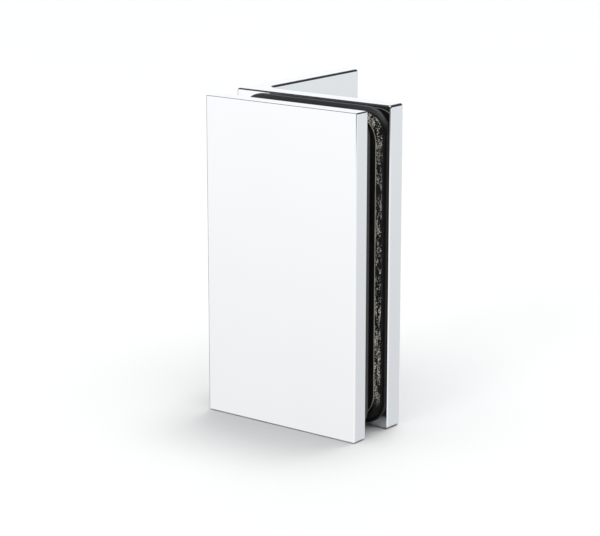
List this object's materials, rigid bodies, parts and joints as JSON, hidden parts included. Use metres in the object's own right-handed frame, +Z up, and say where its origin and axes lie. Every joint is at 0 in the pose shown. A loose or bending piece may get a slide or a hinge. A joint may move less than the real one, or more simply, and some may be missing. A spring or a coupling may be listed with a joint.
{
  "type": "glass-to-wall clamp",
  "caption": "L-shaped chrome bracket for a wall, with a screwed front plate that clamps a glass pane at its edge between rubber pads.",
  "frame": {"origin": "on the wall face, midway between the two wall screw holes", "axes": "+X away from the wall and into the glass, +Z up, -Y towards the front plate"},
  "size_m": [0.0525, 0.0655, 0.09],
  "materials": {
    "polished_chrome": "mirror-polished chrome plate on brass",
    "packer_black": "grainy granulate rubber, black with pale grains",
    "gasket_rubber": "smooth soft rubber, satin black",
    "packer_rubber": "smooth solid rubber, dull black",
    "liner_rubber": "smooth rubber sheet, dull black",
    "brass": "turned, unplated",
    "bush_plastic": "natural nylon",
    "screw_steel": "plain stainless steel"
  },
  "bodies": {
    "bracket": {"l_bracket": "polished_chrome", "rear_liner": "liner_rubber", "rear_packer": "packer_black", "rear_gasket": "gasket_rubber"},
    "plate": {"clamp_plate": "polished_chrome", "front_packer": "packer_rubber", "front_gasket": "gasket_rubber", "threaded_pillar_upper": "brass", "threaded_pillar_lower": "brass", "glass_bush_upper": "bush_plastic", "glass_bush_lower": "bush_plastic"},
    "upper_screw": {"clamp_screw_upper": "screw_steel"},
    "lower_screw": {"clamp_screw_lower": "screw_steel"}
  },
  "joints": [
    {"name": "clamp_travel", "type": "slide", "parent": "bracket", "child": "plate", "axis": [0, -1, 0], "range_m": [-0.002, 0.0045]},
    {"name": "upper_screw_turn", "type": "hinge", "parent": "bracket", "child": "upper_screw", "pos_m": [0.027, -0.022, 0.025], "axis": [0, 1, 0], "range_deg": [-725, 1625]},
    {"name": "lower_screw_turn", "type": "hinge", "parent": "bracket", "child": "lower_screw", "pos_m": [0.027, -0.022, -0.025], "axis": [0, 1, 0], "range_deg": [-725, 1625]}
  ],
  "couplings": [
    {"joint": "upper_screw_turn", "follows": "clamp_travel", "rad_per_m": 6283.2},
    {"joint": "lower_screw_turn", "follows": "clamp_travel", "rad_per_m": 6283.2}
  ]
}
